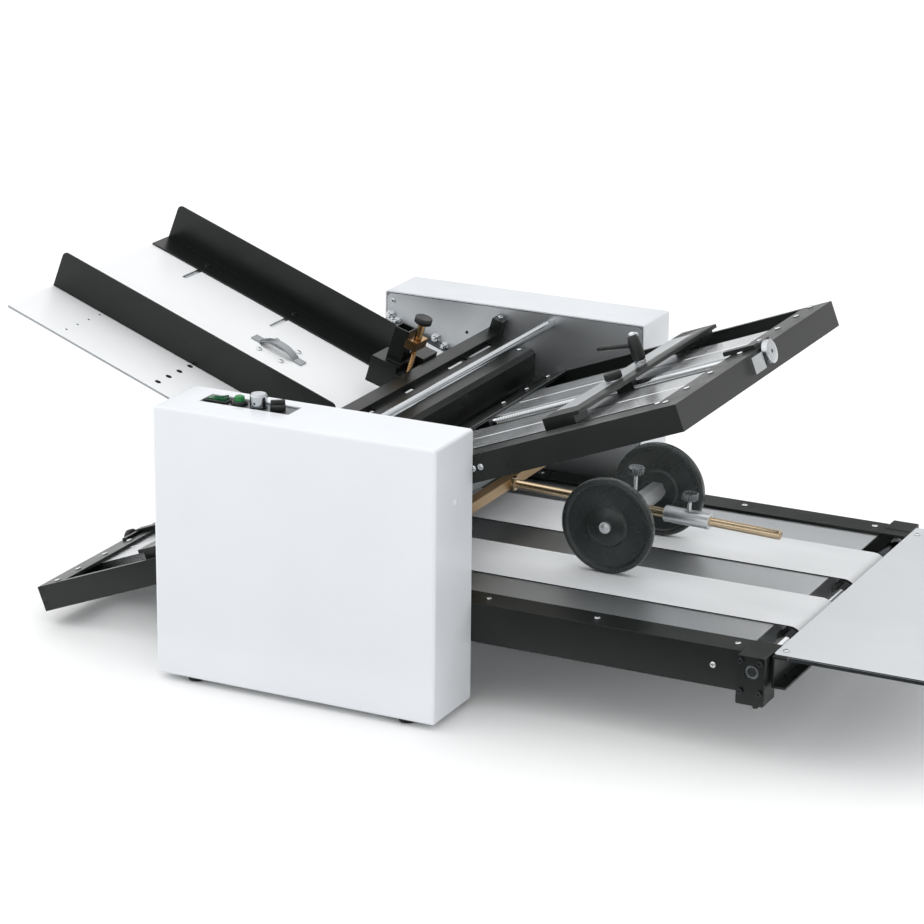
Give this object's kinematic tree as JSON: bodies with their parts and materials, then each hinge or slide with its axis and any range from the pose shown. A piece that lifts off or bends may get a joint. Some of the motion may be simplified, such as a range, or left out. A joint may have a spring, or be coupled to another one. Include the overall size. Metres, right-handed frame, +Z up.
{
  "type": "paper folding machine",
  "caption": "Tabletop buckle folder with a sloping feed table, upper and lower folding plates, geared fold rollers and a belt conveyor under two press wheels.",
  "frame": {"origin": "on the floor plane under the middle of the machine's overall box", "axes": "+X along the paper path towards the delivery end, +Y towards the rear housing, +Z up"},
  "size_m": [1.291, 0.708, 0.4731],
  "materials": {
    "housing_paint": "satin white powder coat",
    "plate_steel": "bright ground steel",
    "foot_rubber": "moulded rubber",
    "rod_chrome": "polished chrome",
    "screw_steel": "zinc-plated steel",
    "panel_plastic": "matt black",
    "bezel_plastic": "matt black",
    "green_plastic": "glossy green",
    "knob_aluminium": "turned aluminium",
    "knob_black": "matt black",
    "roller_steel": "knurled steel",
    "feed_rubber": "ground rubber",
    "gear_nylon": "natural nylon",
    "motor_paint": "black enamel",
    "belt_rubber": "black rubber",
    "bearing_steel": "ground steel",
    "black_paint": "satin black powder coat",
    "table_paint": "pale grey powder coat",
    "strap_steel": "satin steel",
    "brass_bright": "machined brass",
    "slat_aluminium": "extruded aluminium",
    "bed_steel": "brushed stainless sheet",
    "belt_fabric": "pale grey conveyor band",
    "bright_steel": "plated steel",
    "extension_paint": "grey powder coat",
    "yellow_zinc": "yellow passivated steel",
    "wheel_plastic": "black moulded plastic"
  },
  "bodies": {
    "machine": {"front_cover": "housing_paint", "rear_cover": "housing_paint", "side_plates": "plate_steel", "rubber_feet": "foot_rubber", "tie_rods": "rod_chrome", "fixing_screws": "screw_steel", "control_panel": "panel_plastic", "control_bezels": "bezel_plastic", "power_inlet": "bezel_plastic", "main_motor": "motor_paint", "drive_belts": "belt_rubber", "roller_bearings": "bearing_steel", "roller_guard": "black_paint", "feed_table": "table_paint", "front_guide": "black_paint", "pile_strap": "strap_steel", "cross_beam": "black_paint", "separator_bracket": "black_paint", "separator_block": "brass_bright", "upper_plate_frame": "black_paint", "upper_slats": "slat_aluminium", "plate_strips": "black_paint", "lower_plate_frame": "black_paint", "lower_slats": "slat_aluminium", "conveyor_frame": "black_paint", "conveyor_bed": "bed_steel", "conveyor_belts": "belt_fabric", "end_blocks": "black_paint", "extension_plate": "extension_paint"},
    "power_rocker": {"power_rocker": "green_plastic"},
    "start_button": {"start_button": "green_plastic"},
    "speed_knob": {"speed_knob": "knob_aluminium"},
    "selector_knob": {"selector_knob": "knob_black"},
    "main_roller": {"main_roller": "roller_steel", "main_gear": "gear_nylon"},
    "infeed_roller": {"infeed_roller": "roller_steel", "infeed_gear": "gear_nylon"},
    "fold_roller": {"fold_roller": "roller_steel", "fold_gear": "gear_nylon"},
    "delivery_roller": {"delivery_roller": "roller_steel", "delivery_gear": "gear_nylon"},
    "motor_pulley": {"motor_pulley": "bearing_steel"},
    "drive_roller": {"drive_roller": "roller_steel"},
    "end_roller": {"end_roller": "roller_steel"},
    "feed_roller": {"feed_roller": "feed_rubber"},
    "rear_guide": {"rear_guide": "black_paint"},
    "separator_screw": {"separator_screw": "brass_bright"},
    "upper_stop": {"upper_stop": "black_paint"},
    "clamp_lever": {"clamp_lever": "knob_black"},
    "upper_adjuster": {"upper_adjuster": "bright_steel"},
    "lower_stop": {"lower_stop": "black_paint"},
    "lower_adjuster": {"lower_adjuster": "knob_black"},
    "wheel_carrier": {"carrier_bar": "yellow_zinc", "wheel_rod": "yellow_zinc"},
    "wheel_hub": {"wheel_hub": "bright_steel"},
    "hub_screw": {"hub_screw": "bright_steel"},
    "front_wheel": {"front_wheel": "wheel_plastic"},
    "rear_wheel": {"rear_wheel": "wheel_plastic"},
    "wheel_sleeve": {"wheel_sleeve": "bright_steel"},
    "sleeve_screw": {"sleeve_screw": "bright_steel"}
  },
  "joints": [
    {"name": "rocker_tilt", "type": "hinge", "parent": "machine", "child": "power_rocker", "pos_m": [-0.312, -0.291, 0.357], "axis": [0, 1, 0], "range_deg": [0, 16]},
    {"name": "start_press", "type": "slide", "parent": "machine", "child": "start_button", "axis": [0, 0, -1], "range_m": [0, 0.0025], "stiffness_N_per_m": 400, "springref_m": -0.001},
    {"name": "speed_turn", "type": "hinge", "parent": "machine", "child": "speed_knob", "pos_m": [-0.255, -0.291, 0.356], "axis": [0, 0, 1], "range_deg": [-135, 135]},
    {"name": "selector_turn", "type": "hinge", "parent": "machine", "child": "selector_knob", "pos_m": [-0.228, -0.291, 0.356], "axis": [0, 0, 1], "range_deg": [-60, 210]},
    {"name": "main_spin", "type": "hinge", "parent": "machine", "child": "main_roller", "pos_m": [-0.165, 0.006, 0.227], "axis": [0, 1, 0], "continuous": true},
    {"name": "infeed_spin", "type": "hinge", "parent": "machine", "child": "infeed_roller", "pos_m": [-0.165, 0.006, 0.262], "axis": [0, 1, 0], "continuous": true},
    {"name": "fold_spin", "type": "hinge", "parent": "machine", "child": "fold_roller", "pos_m": [-0.14025, 0.006, 0.20225], "axis": [0, 1, 0], "continuous": true},
    {"name": "delivery_spin", "type": "hinge", "parent": "machine", "child": "delivery_roller", "pos_m": [-0.165, 0.006, 0.1775], "axis": [0, 1, 0], "continuous": true},
    {"name": "motor_spin", "type": "hinge", "parent": "machine", "child": "motor_pulley", "pos_m": [-0.274, -0.294, 0.12], "axis": [0, 1, 0], "continuous": true},
    {"name": "drive_spin", "type": "hinge", "parent": "machine", "child": "drive_roller", "pos_m": [-0.165, 0.006, 0.1165], "axis": [0, 1, 0], "continuous": true},
    {"name": "end_spin", "type": "hinge", "parent": "machine", "child": "end_roller", "pos_m": [0.3943, 0.006, 0.1165], "axis": [0, 1, 0], "continuous": true},
    {"name": "feed_spin", "type": "hinge", "parent": "machine", "child": "feed_roller", "pos_m": [-0.22272, 0.006, 0.24521], "axis": [0, 1, 0], "continuous": true},
    {"name": "rear_guide_slide", "type": "slide", "parent": "machine", "child": "rear_guide", "axis": [0, 1, 0], "range_m": [-0.058, 0.068]},
    {"name": "separator_turn", "type": "hinge", "parent": "machine", "child": "separator_screw", "pos_m": [-0.21253, 0.034, 0.33219], "axis": [0.2924, 0, 0.9563], "range_deg": [-720, 720]},
    {"name": "upper_stop_slide", "type": "slide", "parent": "machine", "child": "upper_stop", "axis": [0.9323, 0, 0.3616], "range_m": [-0.16, 0.1]},
    {"name": "clamp_turn", "type": "hinge", "parent": "upper_stop", "child": "clamp_lever", "pos_m": [0.10385, 0.06, 0.37033], "axis": [-0.3616, 0, 0.9323], "range_deg": [0, 110]},
    {"name": "upper_adjust", "type": "hinge", "parent": "machine", "child": "upper_adjuster", "pos_m": [0.28464, 0.024, 0.41857], "axis": [0.9323, 0, 0.3616], "continuous": true},
    {"name": "lower_stop_slide", "type": "slide", "parent": "machine", "child": "lower_stop", "axis": [-0.9317, 0, -0.3633], "range_m": [-0.16, 0.1]},
    {"name": "lower_adjust", "type": "hinge", "parent": "machine", "child": "lower_adjuster", "pos_m": [-0.60945, -0.012, 0.03987], "axis": [-0.9317, 0, -0.3633], "continuous": true},
    {"name": "carrier_lift", "type": "hinge", "parent": "machine", "child": "wheel_carrier", "pos_m": [-0.058, 0.01, 0.20142], "axis": [0, -1, 0], "range_deg": [0, 12]},
    {"name": "hub_slide", "type": "slide", "parent": "wheel_carrier", "child": "wheel_hub", "axis": [0.9995, 0, -0.0314], "range_m": [-0.08, 0]},
    {"name": "hub_screw_turn", "type": "hinge", "parent": "wheel_hub", "child": "hub_screw", "pos_m": [0.12091, 0.01, 0.1958], "axis": [0.0314, 0, 0.9995], "range_deg": [0, 360]},
    {"name": "front_wheel_spin", "type": "hinge", "parent": "wheel_hub", "child": "front_wheel", "pos_m": [0.12091, 0.01, 0.1958], "axis": [0, 1, 0], "continuous": true},
    {"name": "rear_wheel_spin", "type": "hinge", "parent": "wheel_hub", "child": "rear_wheel", "pos_m": [0.12091, 0.01, 0.1958], "axis": [0, 1, 0], "continuous": true},
    {"name": "sleeve_slide", "type": "slide", "parent": "wheel_carrier", "child": "wheel_sleeve", "axis": [0.9995, 0, -0.0314], "range_m": [-0.025, 0.09]},
    {"name": "sleeve_screw_turn", "type": "hinge", "parent": "wheel_sleeve", "child": "sleeve_screw", "pos_m": [0.19587, 0.01, 0.19344], "axis": [0.0314, 0, 0.9995], "range_deg": [0, 360]}
  ],
  "couplings": [
    {"joint": "infeed_spin", "follows": "main_spin", "ratio": -1},
    {"joint": "fold_spin", "follows": "main_spin", "ratio": -1},
    {"joint": "delivery_spin", "follows": "main_spin", "ratio": 1},
    {"joint": "motor_spin", "follows": "main_spin", "ratio": 2},
    {"joint": "drive_spin", "follows": "main_spin", "ratio": 1},
    {"joint": "end_spin", "follows": "main_spin", "ratio": 1},
    {"joint": "front_wheel_spin", "follows": "main_spin", "ratio": -0.27419},
    {"joint": "rear_wheel_spin", "follows": "main_spin", "ratio": -0.27419}
  ]
}
